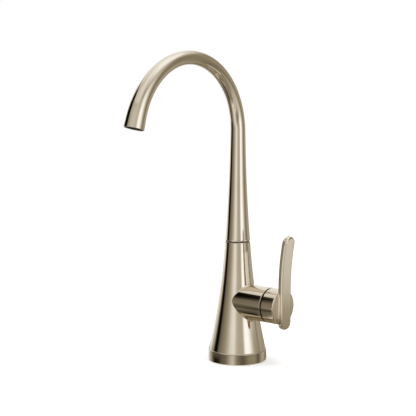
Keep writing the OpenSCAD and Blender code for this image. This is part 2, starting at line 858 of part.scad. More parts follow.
// Round plug of the outlet, pierced by a hexagonal grid of cells. Its flange rests on
// a shoulder inside the rim.
module flow_straightener() color(acetal) {
    row = cell_pitch * sqrt(3) / 2;
    cell_r = (cell_pitch - cell_web) / 2;
    difference() {
        union() {
            in_outlet(-straightener_len / 2)
                cylinder(r = plug_r, h = straightener_len, $fn = 96);
            in_outlet(straightener_len / 2 - straightener_flange_t)
                cylinder(r = straightener_flange_r, h = straightener_flange_t, $fn = 96);
        }
        for (i = [-4 : 4], j = [-4 : 4]) {
            x = cell_pitch * (i + j / 2);
            y = row * j;
            if (norm([x, y]) + cell_r < plug_r - plug_rim)
                in_outlet(-straightener_len / 2 - past)
                    translate([x, y, 0])
                        cylinder(r = cell_r, h = straightener_len + 2 * past, $fn = 24);
        }
        // Groove of its seal
        in_outlet()
            tube(plug_r + past, plug_r - outlet_groove_h, -outlet_groove_w / 2, outlet_groove_w / 2);
    }
}

module outlet_screen() color(steel) {
    in_outlet(-straightener_len / 2 - screen_t)
        difference() {
            cylinder(r = plug_r - 0.2, h = screen_t, $fn = 96);
            for (x = [-2 : 2], y = [-2 : 2])
                if (norm([x, y]) < 2.5)
                    translate([screen_pitch * x, screen_pitch * y, -past])
                        cylinder(r = screen_hole_r, h = screen_t + 2 * past, $fn = 16);
        }
}

module outlet_seal() color(rubber) {
    in_outlet()
        o_ring(plug_r - outlet_groove_h + outlet_seal_r, outlet_seal_r);
}

module mounting_shank() color(brass) {
    difference() {
        union() {
            translate([0, 0, -shank_len])
                cylinder(r = shank_r, h = shank_len + base_h + past, $fn = fine);
            translate([0, 0, base_h])
                cylinder(r = shank_flange_r, h = shank_flange_t, $fn = fine);
        }
        translate([0, 0, -shank_len - past])
            cylinder(r = shank_bore_r, h = shank_len + base_h + shank_flange_t + 2 * past, $fn = fine);
    }
}

module rubber_washer() color(rubber) {
    tube(rubber_r, shank_r + clear, rubber_z, rubber_z + rubber_t);
}

module metal_washer() color(steel) {
    tube(washer_r, shank_r + clear, washer_z, washer_z + washer_t);
}

module mounting_nut() color(brass) {
    translate([0, 0, nut_z])
        difference() {
            intersection() {
                cylinder(r = nut_af / sqrt(3), h = nut_h, $fn = 6);
                // Chamfered corners
                rotate_extrude($fn = 96)
                    polygon([[0, 0], [nut_af / 2, 0], [nut_af / sqrt(3), 1.4],
                             [nut_af / sqrt(3), nut_h - 1.4], [nut_af / 2, nut_h], [0, nut_h]]);
            }
            translate([0, 0, -past])
                cylinder(r = shank_r + running, h = nut_h + 2 * past, $fn = fine);
        }
}

module inlet_tube() color(brass) {
    tube(tube_r, tube_r - tube_wall, tube_foot_z, tube_top_z);
}

module inlet_seal() color(rubber) {
    o_ring(tube_r + inlet_seal_r + running, inlet_seal_r, inlet_seal_z);
}

module inlet_fitting() color(brass) {
    difference() {
        union() {
            translate([0, 0, -shank_len - inlet_hex_h])
                cylinder(r = inlet_hex_af / sqrt(3), h = inlet_hex_h, $fn = 6);
            translate([0, 0, inlet_z])
                cylinder(r = inlet_r, h = inlet_len + past, $fn = 96);
        }
        translate([0, 0, inlet_z - past])
            cylinder(r = tube_r - tube_wall, h = inlet_len + inlet_hex_h + 2 * past, $fn = 64);
        translate([0, 0, tube_foot_z])
            cylinder(r = tube_r + running, h = tube_foot_depth + inlet_hex_h + past, $fn = 64);
        // Cone that seats the sleeve of the supply line
        translate([0, 0, inlet_z - 0.01])
            cylinder(r1 = inlet_r - 1, r2 = tube_r - tube_wall, h = inlet_cone_h, $fn = 64);
    }
}

base_ring();
base_gasket();
body_shell();
valve_body();
cartridge_sleeve();
cartridge_nut();
seat_seal();
fixed_disc();
moving_disc();
valve_stem();
stem_seals();
cartridge_seal();
guide_ring();
lever_handle();
handle_set_screw();
outlet_spigot();
spigot_seals();
swivel_ring();
spout_clip();
spout_tube();
spout_bush();
flow_straightener();
outlet_screen();
outlet_seal();
mounting_shank();
rubber_washer();
metal_washer();
mounting_nut();
inlet_tube();
inlet_seal();
inlet_fitting();
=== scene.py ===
import math

import bmesh
import bpy
import numpy as np
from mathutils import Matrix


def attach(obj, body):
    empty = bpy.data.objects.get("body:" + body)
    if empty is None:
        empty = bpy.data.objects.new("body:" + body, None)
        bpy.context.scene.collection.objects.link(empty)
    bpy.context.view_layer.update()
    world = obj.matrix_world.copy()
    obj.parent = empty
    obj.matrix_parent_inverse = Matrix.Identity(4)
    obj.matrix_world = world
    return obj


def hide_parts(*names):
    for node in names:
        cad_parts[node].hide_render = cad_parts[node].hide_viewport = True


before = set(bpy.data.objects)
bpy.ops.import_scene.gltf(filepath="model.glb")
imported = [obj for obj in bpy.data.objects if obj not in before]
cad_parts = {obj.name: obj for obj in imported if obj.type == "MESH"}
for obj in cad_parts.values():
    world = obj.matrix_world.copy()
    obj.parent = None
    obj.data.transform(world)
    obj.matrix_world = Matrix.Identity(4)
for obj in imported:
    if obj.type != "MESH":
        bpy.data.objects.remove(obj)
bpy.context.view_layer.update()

# The camera stands where the photograph was taken from: a little above the top of
# the spout and to the right of the front, 1.4 m away, with a long lens.
view = bpy.data.cameras.new("camera")
view.lens = 135.0
view.sensor_width = 36.0
camera = bpy.data.objects.new("camera", view)
bpy.context.scene.collection.objects.link(camera)
camera.location = (0.8556, -1.0514, 0.3395)
camera.rotation_euler = (math.radians(90 - 8.55), 0, math.radians(40.24))
bpy.context.scene.camera = camera
bpy.context.scene.view_settings.view_transform = "Standard"


# Base ring. A turned brass ring, nickel plated, its side brushed round with fine lines.
# It stands on the deck over a rubber gasket, and its spigot centres the body.

def plug(socket, value):
    """Links a value to a socket, or sets the socket to a number or a colour."""
    if isinstance(value, Value):
        value.tree.links.new(value.socket, socket)
    else:
        socket.default_value = value


class Value:
    """A socket of a shader tree that can stand in an expression. Without a socket it
    is the start of a tree, for nodes that take nothing in."""

    def __init__(self, tree, socket=None):
        self.tree = tree
        self.socket = socket

    def node(self, kind, settings=None, inputs=None, output=0):
        """Adds a node: settings first, then the values or links of its sockets. The
        stops of a ramp are pairs of a place and a grey level or a colour."""
        new = self.tree.nodes.new(kind)
        for name, value in (settings or {}).items():
            if name == "stops":
                stops = new.color_ramp.elements
                stops[0].position = value[0][0]
                stops[1].position = value[-1][0]
                for place, shade in value[1:-1]:
                    stops.new(place)
                for stop, (place, shade) in zip(stops, value):
                    stop.color = shade if len(np.shape(shade)) else (shade, shade, shade, 1)
            else:
                setattr(new, name, value)
        for name, value in (inputs or {}).items():
            plug(new.inputs[name], value)
        return Value(self.tree, new.outputs[output])

    def maths(self, operation, first, second=0.0):
        """One operation on two values or numbers."""
        return self.node("ShaderNodeMath", {"operation": operation}, {0: first, 1: second})

    def __add__(self, other):
        return self.maths("ADD", self, other)

    def __radd__(self, other):
        return self.maths("ADD", other, self)

    def __sub__(self, other):
        return self.maths("SUBTRACT", self, other)

    def __rsub__(self, other):
        return self.maths("SUBTRACT", other, self)

    def __mul__(self, other):
        return self.maths("MULTIPLY", self, other)

    def __rmul__(self, other):
        return self.maths("MULTIPLY", other, self)

    def __truediv__(self, other):
        return self.maths("DIVIDE", self, other)

    def __rtruediv__(self, other):
        return self.maths("DIVIDE", other, self)

    def axes(self):
        """The x, y and z of a vector."""
        first = self.node("ShaderNodeSeparateXYZ", None, {0: self})
        return [Value(self.tree, out) for out in first.socket.node.outputs]

    def vector(self, x, y, z):
        """A vector from its x, y and z."""
        return self.node("ShaderNodeCombineXYZ", None, {0: x, 1: y, 2: z})

    def noise(self, scale, detail=3.0, roughness=0.5):
        """Cloudy noise of this vector, about 0.5."""
        return self.node("ShaderNodeTexNoise", None,
                         {"Vector": self, "Scale": scale, "Detail": detail,
                          "Roughness": roughness})

    def between(self, low, high):
        """0 at the value low, 1 at the value high, and straight between."""
        return self.node("ShaderNodeMapRange", {"clamp": True},
                         {"Value": self, "From Min": low, "From Max": high,
                          "To Min": 0.0, "To Max": 1.0})

    def mix(self, first, second):
        """The first colour where this is 0, the second where it is 1. The sockets of a
        mix of colours are 0, 6 and 7, and it comes out at 2."""
        return self.node("ShaderNodeMix", {"data_type": "RGBA"},
                         {0: self, 6: first, 7: second}, output=2)

    def bump(self, distance, strength=1.0):
        """The normal of a surface with this height, in metres at strength 1."""
        return self.node("ShaderNodeBump", None,
                         {"Height": self, "Distance": distance, "Strength": strength})


def material(name):
    """A new material: itself, its shader and its Object coordinates."""
    new = bpy.data.materials.new(name)
    new.use_nodes = True
    shader = new.node_tree.nodes["Principled BSDF"]
    return new, shader, Value(new.node_tree).node("ShaderNodeTexCoord", output="Object")


def feed(shader, **sockets):
    """Sets or links the sockets of a shader, named with _ for the spaces."""
    for name, value in sockets.items():
        plug(shader.inputs[name.replace("_", " ")], value)


def grid_faces(rows, columns, first=0, rows_close=True, columns_close=True):
    """Four-sided faces of a grid of points that are numbered from first, row by row.
    Where the rows or the columns close, the last one joins the first again."""
    down = np.arange(rows if rows_close else rows - 1)
    across = np.arange(columns if columns_close else columns - 1)
    j, i = np.meshgrid(down, across, indexing="ij")
    j2, i2 = (j + 1) % rows, (i + 1) % columns
    corners = (j * columns + i, j * columns + i2, j2 * columns + i2, j2 * columns + i)
    return (np.stack(corners, -1).reshape(-1, 4) + first).tolist()


crisp_angle = math.radians(32)


def solid(name, points, faces, body, finish, cad_nodes):
    """Makes a smooth mesh from points in millimetres, with every edge past the crisp
    angle sharp, merges the points of a pole, and lets it ride on its body."""
    mesh = bpy.data.meshes.new(name)
    mesh.from_pydata(points / 1000, [], faces)
    mesh.validate()
    work = bmesh.new()
    work.from_mesh(mesh)
    bmesh.ops.remove_doubles(work, verts=work.verts, dist=1e-7)
    bmesh.ops.recalc_face_normals(work, faces=work.faces)
    work.to_mesh(mesh)
    work.free()
    mesh.polygons.foreach_set("use_smooth", np.ones(len(mesh.polygons), bool))
    mesh.set_sharp_from_angle(angle=crisp_angle)
    made = bpy.data.objects.new(name, mesh)
    bpy.context.scene.collection.objects.link(made)
    mesh.materials.append(finish)
    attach(made, body)
    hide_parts(*cad_nodes)
    return made


def piece(name, grid, body, finish, cad_nodes):
    """A piece whose surface is one grid of points that closes both ways."""
    return solid(name, grid.reshape(-1, 3), grid_faces(*grid.shape[:2]), body, finish, cad_nodes)


def turned(profile, sides, axis="z", lift=0.0):
    """Turns a closed profile of (radius, height) pairs round an axis.
    Each pair becomes a circle: x = r cos a, y = r sin a at its height. On the
    lever axis the heights run along x, about the height lift."""
    r, h = np.asarray(profile, float).T
    a = np.linspace(0, 2 * math.pi, sides, endpoint=False)
    c, s = np.cos(a), np.sin(a)
    heights = np.repeat(h[:, None], sides, 1)
    if axis == "z":
        return np.stack([r[:, None] * c, r[:, None] * s, heights], -1)
    return np.stack([heights, -r[:, None] * s, lift + r[:, None] * c], -1)


def arc(centre, radius, start, stop, steps):
    """Points on part of a circle, from one angle to another in degrees."""
    t = np.radians(np.linspace(start, stop, steps))
    return [(centre[0] + radius * math.cos(k), centre[1] + radius * math.sin(k)) for k in t]


def refine(profile, step):
    """Adds points along the long straight runs of a closed profile."""
    out = []
    for (r0, h0), (r1, h1) in zip(profile, profile[1:] + profile[:1]):
        count = max(1, int(math.hypot(r1 - r0, h1 - h0) / step))
        out += [(r0 + (r1 - r0) * k / count, h0 + (h1 - h0) * k / count) for k in range(count)]
    return out


round_sides = 256
ring_r, ring_h = 25.75, 10.0
ring_edge, ring_foot_edge = 0.8, 0.4
spigot_r, spigot_top = 21.85, 15.8
hollow_r, web_low = 17.0, 3.0
shank_hole_r = 11.1
gasket_in, gasket_out, gasket_depth = 19.2, 23.5, 1.6
ring_profile = (
    [(hollow_r, web_low), (hollow_r, 0.0), (gasket_in, 0.0), (gasket_in, gasket_depth),
     (gasket_out, gasket_depth), (gasket_out, 0.0)]
    + arc((ring_r - ring_foot_edge, ring_foot_edge), ring_foot_edge, -90, 0, 6)
    + arc((ring_r - ring_edge, ring_h - ring_edge), ring_edge, 0, 90, 10)
    + [(spigot_r, ring_h), (spigot_r, spigot_top), (hollow_r, spigot_top), (hollow_r, ring_h),
       (shank_hole_r, ring_h), (shank_hole_r, web_low)])


def brushed_nickel():
    """Nickel with turned lines: noise that is very fine in radius and height and
    long round the axis tips the normal up and down and varies the gloss."""
    new, shader, place = material("brushed_nickel")
    x, y, z = place.axes()
    radius = place.maths("SQRT", x * x + y * y)
    round_it = place.maths("ARCTAN2", y, x)
    lines = place.vector(radius * 5200, z * 5200, round_it * 2.5).noise(1.0, 4.0, 0.65)
    broad = place.vector(radius * 900, z * 900, round_it * 1.3).noise(1.0, 2.0)
    shade = (lines * 0.6 + broad * 0.4).between(0.3, 0.7)
    feed(shader, Metallic=1.0,
         Base_Color=shade.mix((0.62, 0.55, 0.43, 1), (0.75, 0.67, 0.54, 1)),
         Roughness=0.05 + 0.05 * lines,
         Normal=(lines + 0.5 * broad).bump(0.00004))
    return new


base_ring = piece("ring_of_the_base", turned(refine(ring_profile, 1.0), round_sides),
                  "faucet_body", brushed_nickel(), ["base_ring"])


# Body. A brass casting, turned to a trumpet outside and polished under a warm nickel
# plate. The valve hub grows out of its side with a small fillet all round.

foot_r, foot_z = 25.15, 10.0
top_r, top_z, top_edge = 11.1, 106.2, 0.5
sag = 1.9
wall = 2.6
socket_r = 21.95
neck_bore_r, neck_low_z = 8.4, 98.2
chord = math.hypot(top_z - foot_z, foot_r - top_r)
curve_r = chord ** 2 / (8 * sag) + sag / 2
curve_centre = ((foot_r + top_r) / 2 + (curve_r - sag) * (top_z - foot_z) / chord,
                (foot_z + top_z) / 2 + (curve_r - sag) * (foot_r - top_r) / chord)

# The photo shows the gap between the hub and the cap 0.4 mm wider than the CAD has it,
# so the hub ends 0.2 mm sooner here, and the cap's edge starts 0.2 mm later.
hub_r, hub_z, hub_end = 15.4, 53.7, 36.7
hub_fillet, hub_rim, hub_root = 1.3, 0.15, 0.8
valve_bore_r, valve_bore_end = 12.7, 12.0
mouth_r, mouth_end, mouth_bevel = 13.2, 29.9, 0.3


def side_radius(z, inset=0.0):
    """Radius of the body at a height: the near side of a circle far outside it."""
    return curve_centre[0] - np.sqrt((curve_r + inset) ** 2 - (z - curve_centre[1]) ** 2)


def polished_nickel(name, gloss, peel):
    """Polished plate: mirror gloss with faint clouds of wiping marks, and the slight
    waviness that polishing leaves in a casting."""
    new, shader, place = material(name)
    clouds = place.noise(55.0, 4.0, 0.6)
    wipes = place.noise(900.0, 5.0, 0.7)
    wave = place.noise(120.0, 1.0)
    feed(shader, Metallic=1.0,
         Base_Color=clouds.between(0.3, 0.7).mix((0.78, 0.70, 0.575, 1), (0.745, 0.655, 0.525, 1)),
         Roughness=gloss + 0.015 * clouds + 0.01 * wipes,
         Normal=(wave + 0.04 * wipes).bump(peel))
    return new


mirror_nickel = polished_nickel("polished_nickel", gloss=0.03, peel=0.000008)

side = [(side_radius(z), z) for z in np.linspace(foot_z, top_z - top_edge, 150)]
inside = [(side_radius(z, wall), z) for z in np.linspace(neck_low_z, spigot_top, 60)]
body_profile = (side[:-1] + arc((top_r - top_edge, top_z - top_edge), top_edge, 12, 90, 7)
                + [(neck_bore_r, top_z), (neck_bore_r, neck_low_z)] + inside
                + [(socket_r, spigot_top), (socket_r, foot_z)])
trumpet = turned(body_profile, round_sides)


def hub_surface(sides):
    """Rows of the hub, from its bore out round the rim, along the side and down the
    fillet. The fillet is a ball rolled round the joint: its centre keeps its radius
    from the hub and from the body, and each row turns from one contact to the other."""
    a = np.linspace(0, 2 * math.pi, sides, endpoint=False)
    out = np.stack([np.zeros(sides), -np.sin(a), np.cos(a)], -1)

    def ring(x, r):
        """A circle about the axis of the hub: y = -r sin a and z = height + r cos a."""
        return np.stack([np.full(sides, x), -r * np.sin(a), hub_z + r * np.cos(a)], -1)

    ball = hub_r + hub_fillet
    z = hub_z + ball * np.cos(a)
    reach = side_radius(z, -hub_fillet)
    x = np.sqrt(np.maximum(reach ** 2 - (ball * np.sin(a)) ** 2, 0))
    centre = np.stack([x, -ball * np.sin(a), z], -1)
    in_plane = np.stack([reach - curve_centre[0], z - curve_centre[1]], -1)
    in_plane /= np.linalg.norm(in_plane, axis=1)[:, None]
    flat = centre[:, :2] / reach[:, None]
    to_body = np.concatenate([flat * in_plane[:, :1], in_plane[:, 1:]], 1)
    to_hub = -out
    angle = np.arccos(np.clip((to_body * to_hub).sum(1), -1, 1))[:, None]
    rows = [ring(valve_bore_end, valve_bore_r), ring(mouth_end, valve_bore_r),
            ring(mouth_end, mouth_r), ring(hub_end - mouth_bevel, mouth_r),
            ring(hub_end, mouth_r + mouth_bevel), ring(hub_end, hub_r - hub_rim)]
    rows += [ring(hub_end - hub_rim + hub_rim * math.sin(t),
                  hub_r - hub_rim + hub_rim * math.cos(t)) for t in np.radians([65, 40, 18, 0])]
    start = ring(hub_end - hub_rim, hub_r)
    side_end = ring(0, hub_r)
    side_end[:, 0] = x
    rows += [start + (side_end - start) * k for k in np.linspace(0, 1, 26)[1:]]
    for k in np.linspace(0, 1, 10)[1:]:
        turn = (np.sin((1 - k) * angle) * to_hub + np.sin(k * angle) * to_body) / np.sin(angle)
        rows.append(centre + hub_fillet * turn)
    rows.append(rows[-1] + hub_root * to_body)
    return np.stack(rows)


hub = hub_surface(round_sides)
body_points = np.concatenate([trumpet.reshape(-1, 3), hub.reshape(-1, 3)])
body_faces = (grid_faces(*trumpet.shape[:2])
              + grid_faces(*hub.shape[:2], first=trumpet[..., 0].size))
body = solid("trumpet_body", body_points, body_faces, "faucet_body", mirror_nickel,
             ["body_shell"])


# Spout. A drawn brass tube, tapered along the post, bent to a round arch and flared
# at its end, then polished and plated. Its foot turns on the spigot of the body.

spout_foot_z = 107.2
post_len = 203.3 - spout_foot_z
arch_r = 66.8
arch_len = arch_r * math.radians(162)
end_len = 8.8
spout_len = post_len + arch_len + end_len
neck_s = post_len + arch_r * math.radians(95)
neck_r, foot_gain, outlet_gain = 6.0, 5.05, 2.8
foot_power, outlet_power = 3.4, 1.35
spout_wall = 1.4
spout_sides = 128


def spout_radius(s):
    """Radius at a length: a steep power of what is left to the neck, then a gentle
    power of what is past it."""
    to_neck = np.clip(1 - s / neck_s, 0, None)
    past_neck = np.clip((s - neck_s) / (spout_len - neck_s), 0, None)
    return neck_r + foot_gain * to_neck ** foot_power + outlet_gain * past_neck ** outlet_power


def spout_rings(lengths, radii, sides):
    """Circles square to the middle line, which rises straight, then follows the arch,
    y = -R (1 - cos t) and z = top of the post + R sin t, and then runs straight on."""
    s = np.asarray(lengths)[:, None]
    r = np.asarray(radii)[:, None]
    t = np.clip(s - post_len, 0, arch_len) / arch_r
    on = np.clip(s - post_len - arch_len, 0, None)
    y = -arch_r * (1 - np.cos(t)) - on * np.sin(t)
    z = spout_foot_z + np.minimum(s, post_len) + arch_r * np.sin(t) + on * np.cos(t)
    a = np.linspace(0, 2 * math.pi, sides, endpoint=False)[None, :]
    side = r * np.sin(a)
    return np.stack([r * np.cos(a), y + side * np.cos(t), z + side * np.sin(t)], -1)


outlet_r = neck_r + outlet_gain
outlet_edge = 0.25
outlet_seat_r, outlet_seat_depth, seat_bevel = 8.2, 1.5, 0.05
foot_chamfer_s, foot_chamfer_r = [0, 0.15], [10.6, 10.9]
foot_bore_r = 9.8
outer = np.linspace(0.5, spout_len - outlet_edge, 300)
inner = np.linspace(spout_len - outlet_seat_depth, 0.4, 150)
lip = np.radians(np.linspace(15, 90, 6))
along = np.concatenate([
    foot_chamfer_s, outer, spout_len - outlet_edge + outlet_edge * np.sin(lip),
    [spout_len, spout_len - 0.1, spout_len - outlet_seat_depth], inner, [0]])
across = np.concatenate([
    foot_chamfer_r, spout_radius(outer), outlet_r - outlet_edge + outlet_edge * np.cos(lip),
    [outlet_seat_r + seat_bevel, outlet_seat_r, outlet_seat_r],
    spout_radius(inner) - spout_wall, [foot_bore_r]])
spout = piece("gooseneck_spout", spout_rings(along, across, spout_sides), "spout", mirror_nickel,
              ["spout_tube"])


# Handle. The cap and the lever are one brass casting, polished and plated, then held
# to the valve stem by a set screw from below. The lever stands up when it is shut.

boss_end, cap_back, cap_face = 38.1, 38.3, 51.0
face_edge, back_edge = 0.7, 0.2
skirt_r, skirt_bottom = 13.4, 46.4
boss_r = 7.4
stem_hole_r, stem_hole_end = 3.6, 48.2
cap_profile = (
    [(0.0, cap_face)] + [(r, cap_face) for r in np.linspace(1.5, 14.0, 9)]
    + arc((hub_r - face_edge, cap_face - face_edge), face_edge, 90, 0, 9)
    + [(hub_r, x) for x in np.linspace(50.0, 39.0, 12)]
    + arc((hub_r - back_edge, cap_back + back_edge), back_edge, 0, -90, 6)
    + [(skirt_r, cap_back), (skirt_r, skirt_bottom), (boss_r, skirt_bottom), (boss_r, boss_end),
       (stem_hole_r, boss_end), (stem_hole_r, stem_hole_end), (0.0, stem_hole_end)])
cap = turned(cap_profile, round_sides, "x", hub_z)

screw_x = 41.5
screw_free_r, screw_r = 2.4, 2.05
screw_shoulder_z = 43.3
drill_from, drill_to = 36.0, 51.0
hole_sides = 48
screw_hole_profile = [(0.0, drill_from), (screw_free_r, drill_from),
                      (screw_free_r, screw_shoulder_z), (screw_r, screw_shoulder_z),
                      (screw_r, drill_to), (0.0, drill_to)]
screw_hole = turned(screw_hole_profile, hole_sides) + np.array([screw_x, 0, 0])

lever_back, lever_thick, lever_half = 50.5, 4.4, 6.6
lever_low, lever_high = -19.4, 63.3
lever_front_edge, lever_back_edge = 1.5, 0.6
bend_z, lean_out = 17.0, 4.2
lean_angle = 2 * math.atan(lean_out / (lever_high - bend_z))
lean_r = (lever_high - lever_half - bend_z) / math.sin(lean_angle)
low_centre = lever_low + lever_half
high_centre = bend_z + lean_r * lean_angle


def lever_surface():
    """The slab seen from the front is a bar with round ends. Each point stands out
    from its middle line by w and from its back by t, where (w, t) runs round the
    section: back, small edge, side, round front edge, front. The slab is then bent:
    past the bend, the length along it becomes an angle about a centre in front."""
    f, b = lever_front_edge, lever_back_edge
    round_back = np.radians(np.linspace(15, 90, 6))
    round_front = np.radians(np.linspace(10, 90, 10))
    w = np.concatenate([np.linspace(0, lever_half - b, 8),
                        lever_half - b + b * np.sin(round_back),
                        np.full(4, lever_half),
                        lever_half - f + f * np.cos(round_front),
                        np.linspace(lever_half - f, 0, 8)[1:]])
    t = np.concatenate([np.zeros(8),
                        b - b * np.cos(round_back),
                        np.linspace(b + 0.4, lever_thick - f, 4),
                        lever_thick - f + f * np.sin(round_front),
                        np.full(7, lever_thick)])
    up = np.linspace(low_centre, high_centre, 90)
    end = np.radians(np.linspace(0, 180, 48))[1:-1]
    middle = np.concatenate([up, np.full(len(end), high_centre),
                             up[::-1], np.full(len(end), low_centre)])
    side_y = np.concatenate([np.ones(len(up)), np.cos(end), -np.ones(len(up)), -np.cos(end)])
    side_z = np.concatenate([np.zeros(len(up)), np.sin(end), np.zeros(len(up)), -np.sin(end)])
    y = side_y[None, :] * w[:, None]
    z = middle[None, :] + side_z[None, :] * w[:, None]
    t = np.repeat(t[:, None], len(middle), 1)
    turn = np.clip((z - bend_z) / lean_r, 0, lean_angle)
    rest = np.clip(z - high_centre, 0, None)
    straight = np.minimum(z, bend_z)
    x = lean_r - (lean_r - t) * np.cos(turn) + rest * math.sin(lean_angle)
    z = straight + (lean_r - t) * np.sin(turn) + rest * math.cos(lean_angle)
    return np.stack([lever_back + x, y, hub_z + z], -1)


fillet_r, fillet_half, fillet_fade = 1.5, 12.6, 3.0
fillet_root = 0.3


def lever_fillet(side):
    """Rows of the fillet between the cap's face and one side of the lever, from its
    lower end to its upper end. Each row goes round a quarter circle that touches the
    face and the side, then through the metal. The radius falls to nothing at the ends."""
    z = np.linspace(-fillet_half, fillet_half, 64)[:, None]
    r = fillet_r * np.sqrt(np.clip((fillet_half - np.abs(z)) / fillet_fade, 0, 1))
    t = np.radians(np.linspace(0, 90, 13))[None, :]
    x = cap_face + r * (1 - np.cos(t))
    y = lever_half + r * (1 - np.sin(t))
    root = np.minimum(fillet_root, 2 * r)
    x = np.concatenate([x, cap_face + r, cap_face - root, cap_face - root], 1)
    y = np.concatenate([y, lever_half - root, lever_half - root, lever_half + r], 1)
    return np.stack([x, side * y, hub_z + np.repeat(z, x.shape[1], 1)], -1)


def drilled(rows, hole):
    """Points and faces of one closed surface with another one taken out of it."""
    shapes = []
    for grid in (rows, hole):
        mesh = bpy.data.meshes.new("blank")
        mesh.from_pydata(grid.reshape(-1, 3), [], grid_faces(*grid.shape[:2], rows_close=False))
        work = bmesh.new()
        work.from_mesh(mesh)
        bmesh.ops.remove_doubles(work, verts=work.verts, dist=1e-4)
        bmesh.ops.holes_fill(work, edges=work.edges)
        bmesh.ops.recalc_face_normals(work, faces=work.faces)
        work.to_mesh(mesh)
        work.free()
        shapes.append(bpy.data.objects.new("blank", mesh))
        bpy.context.scene.collection.objects.link(shapes[-1])
    blank, cutter = shapes
    cut = blank.modifiers.new("hole", "BOOLEAN")
    cut.operation = "DIFFERENCE"
    cut.solver = "EXACT"
    cut.object = cutter
    done = blank.evaluated_get(bpy.context.evaluated_depsgraph_get()).to_mesh()
    flat = np.empty(3 * len(done.vertices))
    done.vertices.foreach_get("co", flat)
    faces = [list(face.vertices) for face in done.polygons]
    for shape in shapes:
        bpy.data.objects.remove(shape)
    return flat.reshape(-1, 3), faces


handle_points, handle_faces = drilled(cap, screw_hole)
for rows in (lever_surface(), lever_fillet(-1), lever_fillet(1)):
    handle_faces += grid_faces(*rows.shape[:2], first=len(handle_points), rows_close=False)
    handle_points = np.concatenate([handle_points, rows.reshape(-1, 3)])
handle = solid("cap_and_lever", handle_points, handle_faces, "handle",
               polished_nickel("handle_nickel", gloss=0.06, peel=0.00001), ["lever_handle"])


# Guide ring and flow straightener. Moulded black acetal with a dull skin: one shows in
# the gap at the lever, the other lies in the outlet. Their colour is darker than the
# plastic's own, as painted shade in that gap and in the outlet.

def black_acetal():
    """Near-black plastic, a little lighter and duller in faint moulding clouds. The black is
    partly the plastic's own and partly painted shade for the gap at the lever and the outlet.
    """
    new, shader, place = material("black_acetal")
    clouds = place.noise(700.0, 4.0)
    # The near-black colours are partly the plastic's own black and partly painted shade for the
    # lever gap and the outlet.
    feed(shader,
         Base_Color=clouds.between(0.3, 0.7).mix((0.003, 0.003, 0.003, 1),
                                                 (0.008, 0.0075, 0.007, 1)),
         Specular_IOR_Level=0.08, Roughness=0.45 + 0.2 * clouds,
         Normal=clouds.bump(0.00002, 0.6))
    return new


def dress(finish, *nodes):
    """Gives CAD nodes a finish in place of the plain one they came with."""
    for name in nodes:
        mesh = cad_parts[name].data
        mesh.materials.clear()
        mesh.materials.append(finish)


# The guide ring and the straightener get the near-black finish that also paints the shade of the
# gap at the lever and of the outlet.
dress(black_acetal(), "guide_ring", "flow_straightener")


# Swivel ring. A bearing ring of plastic filled with bronze powder, so it is brown. It
# shows as the thin dark line between the body and the spout.

def bronze_filled():
    """Brown plastic with fine darker and lighter grains of the powder."""
    new, shader, place = material("bronze_filled_plastic")
    grains = place.noise(2600.0, 4.0)
    feed(shader,
         Base_Color=grains.between(0.3, 0.7).mix((0.085, 0.07, 0.048, 1), (0.15, 0.125, 0.09, 1)),
         Specular_IOR_Level=0.2, Roughness=0.4 + 0.15 * grains,
         Normal=grains.bump(0.00002, 0.5))
    return new


dress(bronze_filled(), "swivel_ring")


# Seals and gaskets. Moulded black rubber, matt, with a bloom where it was handled.

def seal_rubber():
    """Matt black with a faint grey bloom in broad patches and a fine grain."""
    new, shader, place = material("seal_rubber")
    bloom = place.noise(260.0, 3.0)
    grain = place.noise(5000.0, 2.0)
    feed(shader,
         Base_Color=bloom.between(0.35, 0.7).mix((0.012, 0.012, 0.012, 1), (0.04, 0.039, 0.038, 1)),
         Roughness=0.62 + 0.2 * grain, Normal=grain.bump(0.00003, 0.5))
    return new


dress(seal_rubber(), "base_gasket", "seat_seal", "stem_seals", "cartridge_seal",
      "spigot_seals", "outlet_seal", "rubber_washer", "inlet_seal")


# Brass pieces of the valve, the swivel and the mounting. Turned from bar and left
# bare, with fine tool lines and a dulled, slightly brown skin in places.

def turned_brass():
    """Yellow brass, browner in cloudy patches, with fine lines across its height."""
    new, shader, place = material("turned_brass")
    x, y, z = place.axes()
    patch = place.noise(140.0, 4.0, 0.6)
    lines = place.vector(x * 300, y * 300, z * 3000).noise(1.0, 3.0)
    feed(shader, Metallic=1.0,
         Base_Color=patch.between(0.35, 0.7).mix((0.83, 0.63, 0.30, 1), (0.62, 0.43, 0.19, 1)),
         Roughness=0.2 + 0.16 * patch + 0.08 * lines, Normal=lines.bump(0.00003, 0.6))
    return new


brass = turned_brass()
dress(brass, "valve_body", "cartridge_sleeve", "cartridge_nut", "valve_stem",
      "outlet_spigot", "spout_bush", "mounting_nut", "inlet_tube")


# Mounting shank and inlet fitting. Turned from brass bar with cut threads: a coarse one
# for the mounting nut and a finer one for the nut of the supply line.

thread_sides, rows_a_pitch = 96, 10
vee_slope, vee_crest = 1.4, 0.2


def thread(top, bottom, major, pitch, depth, chamfer):
    """Rows of a right-handed thread, downward. The place in the pitch is the height
    over the pitch less the turn. The groove is a vee with a flat root and crest there,
    which deepens over the first pitch, and a cone takes the edge off the lower end."""
    rows = int(round((top - bottom) / pitch * rows_a_pitch)) + 1
    z = np.linspace(top, bottom, rows)[:, None]
    turn = np.linspace(0, 1, thread_sides, endpoint=False)[None, :]
    place = (z / pitch - turn) % 1
    vee = np.clip(vee_slope * np.abs(2 * place - 1) - vee_crest, 0, 1)
    groove = vee * np.clip((top - z) / pitch, 0, 1)
    r = np.minimum(major - depth * groove, major - chamfer + z - bottom)
    a = 2 * math.pi * turn
    return np.stack([r * np.cos(a), r * np.sin(a), z + 0 * turn], -1)


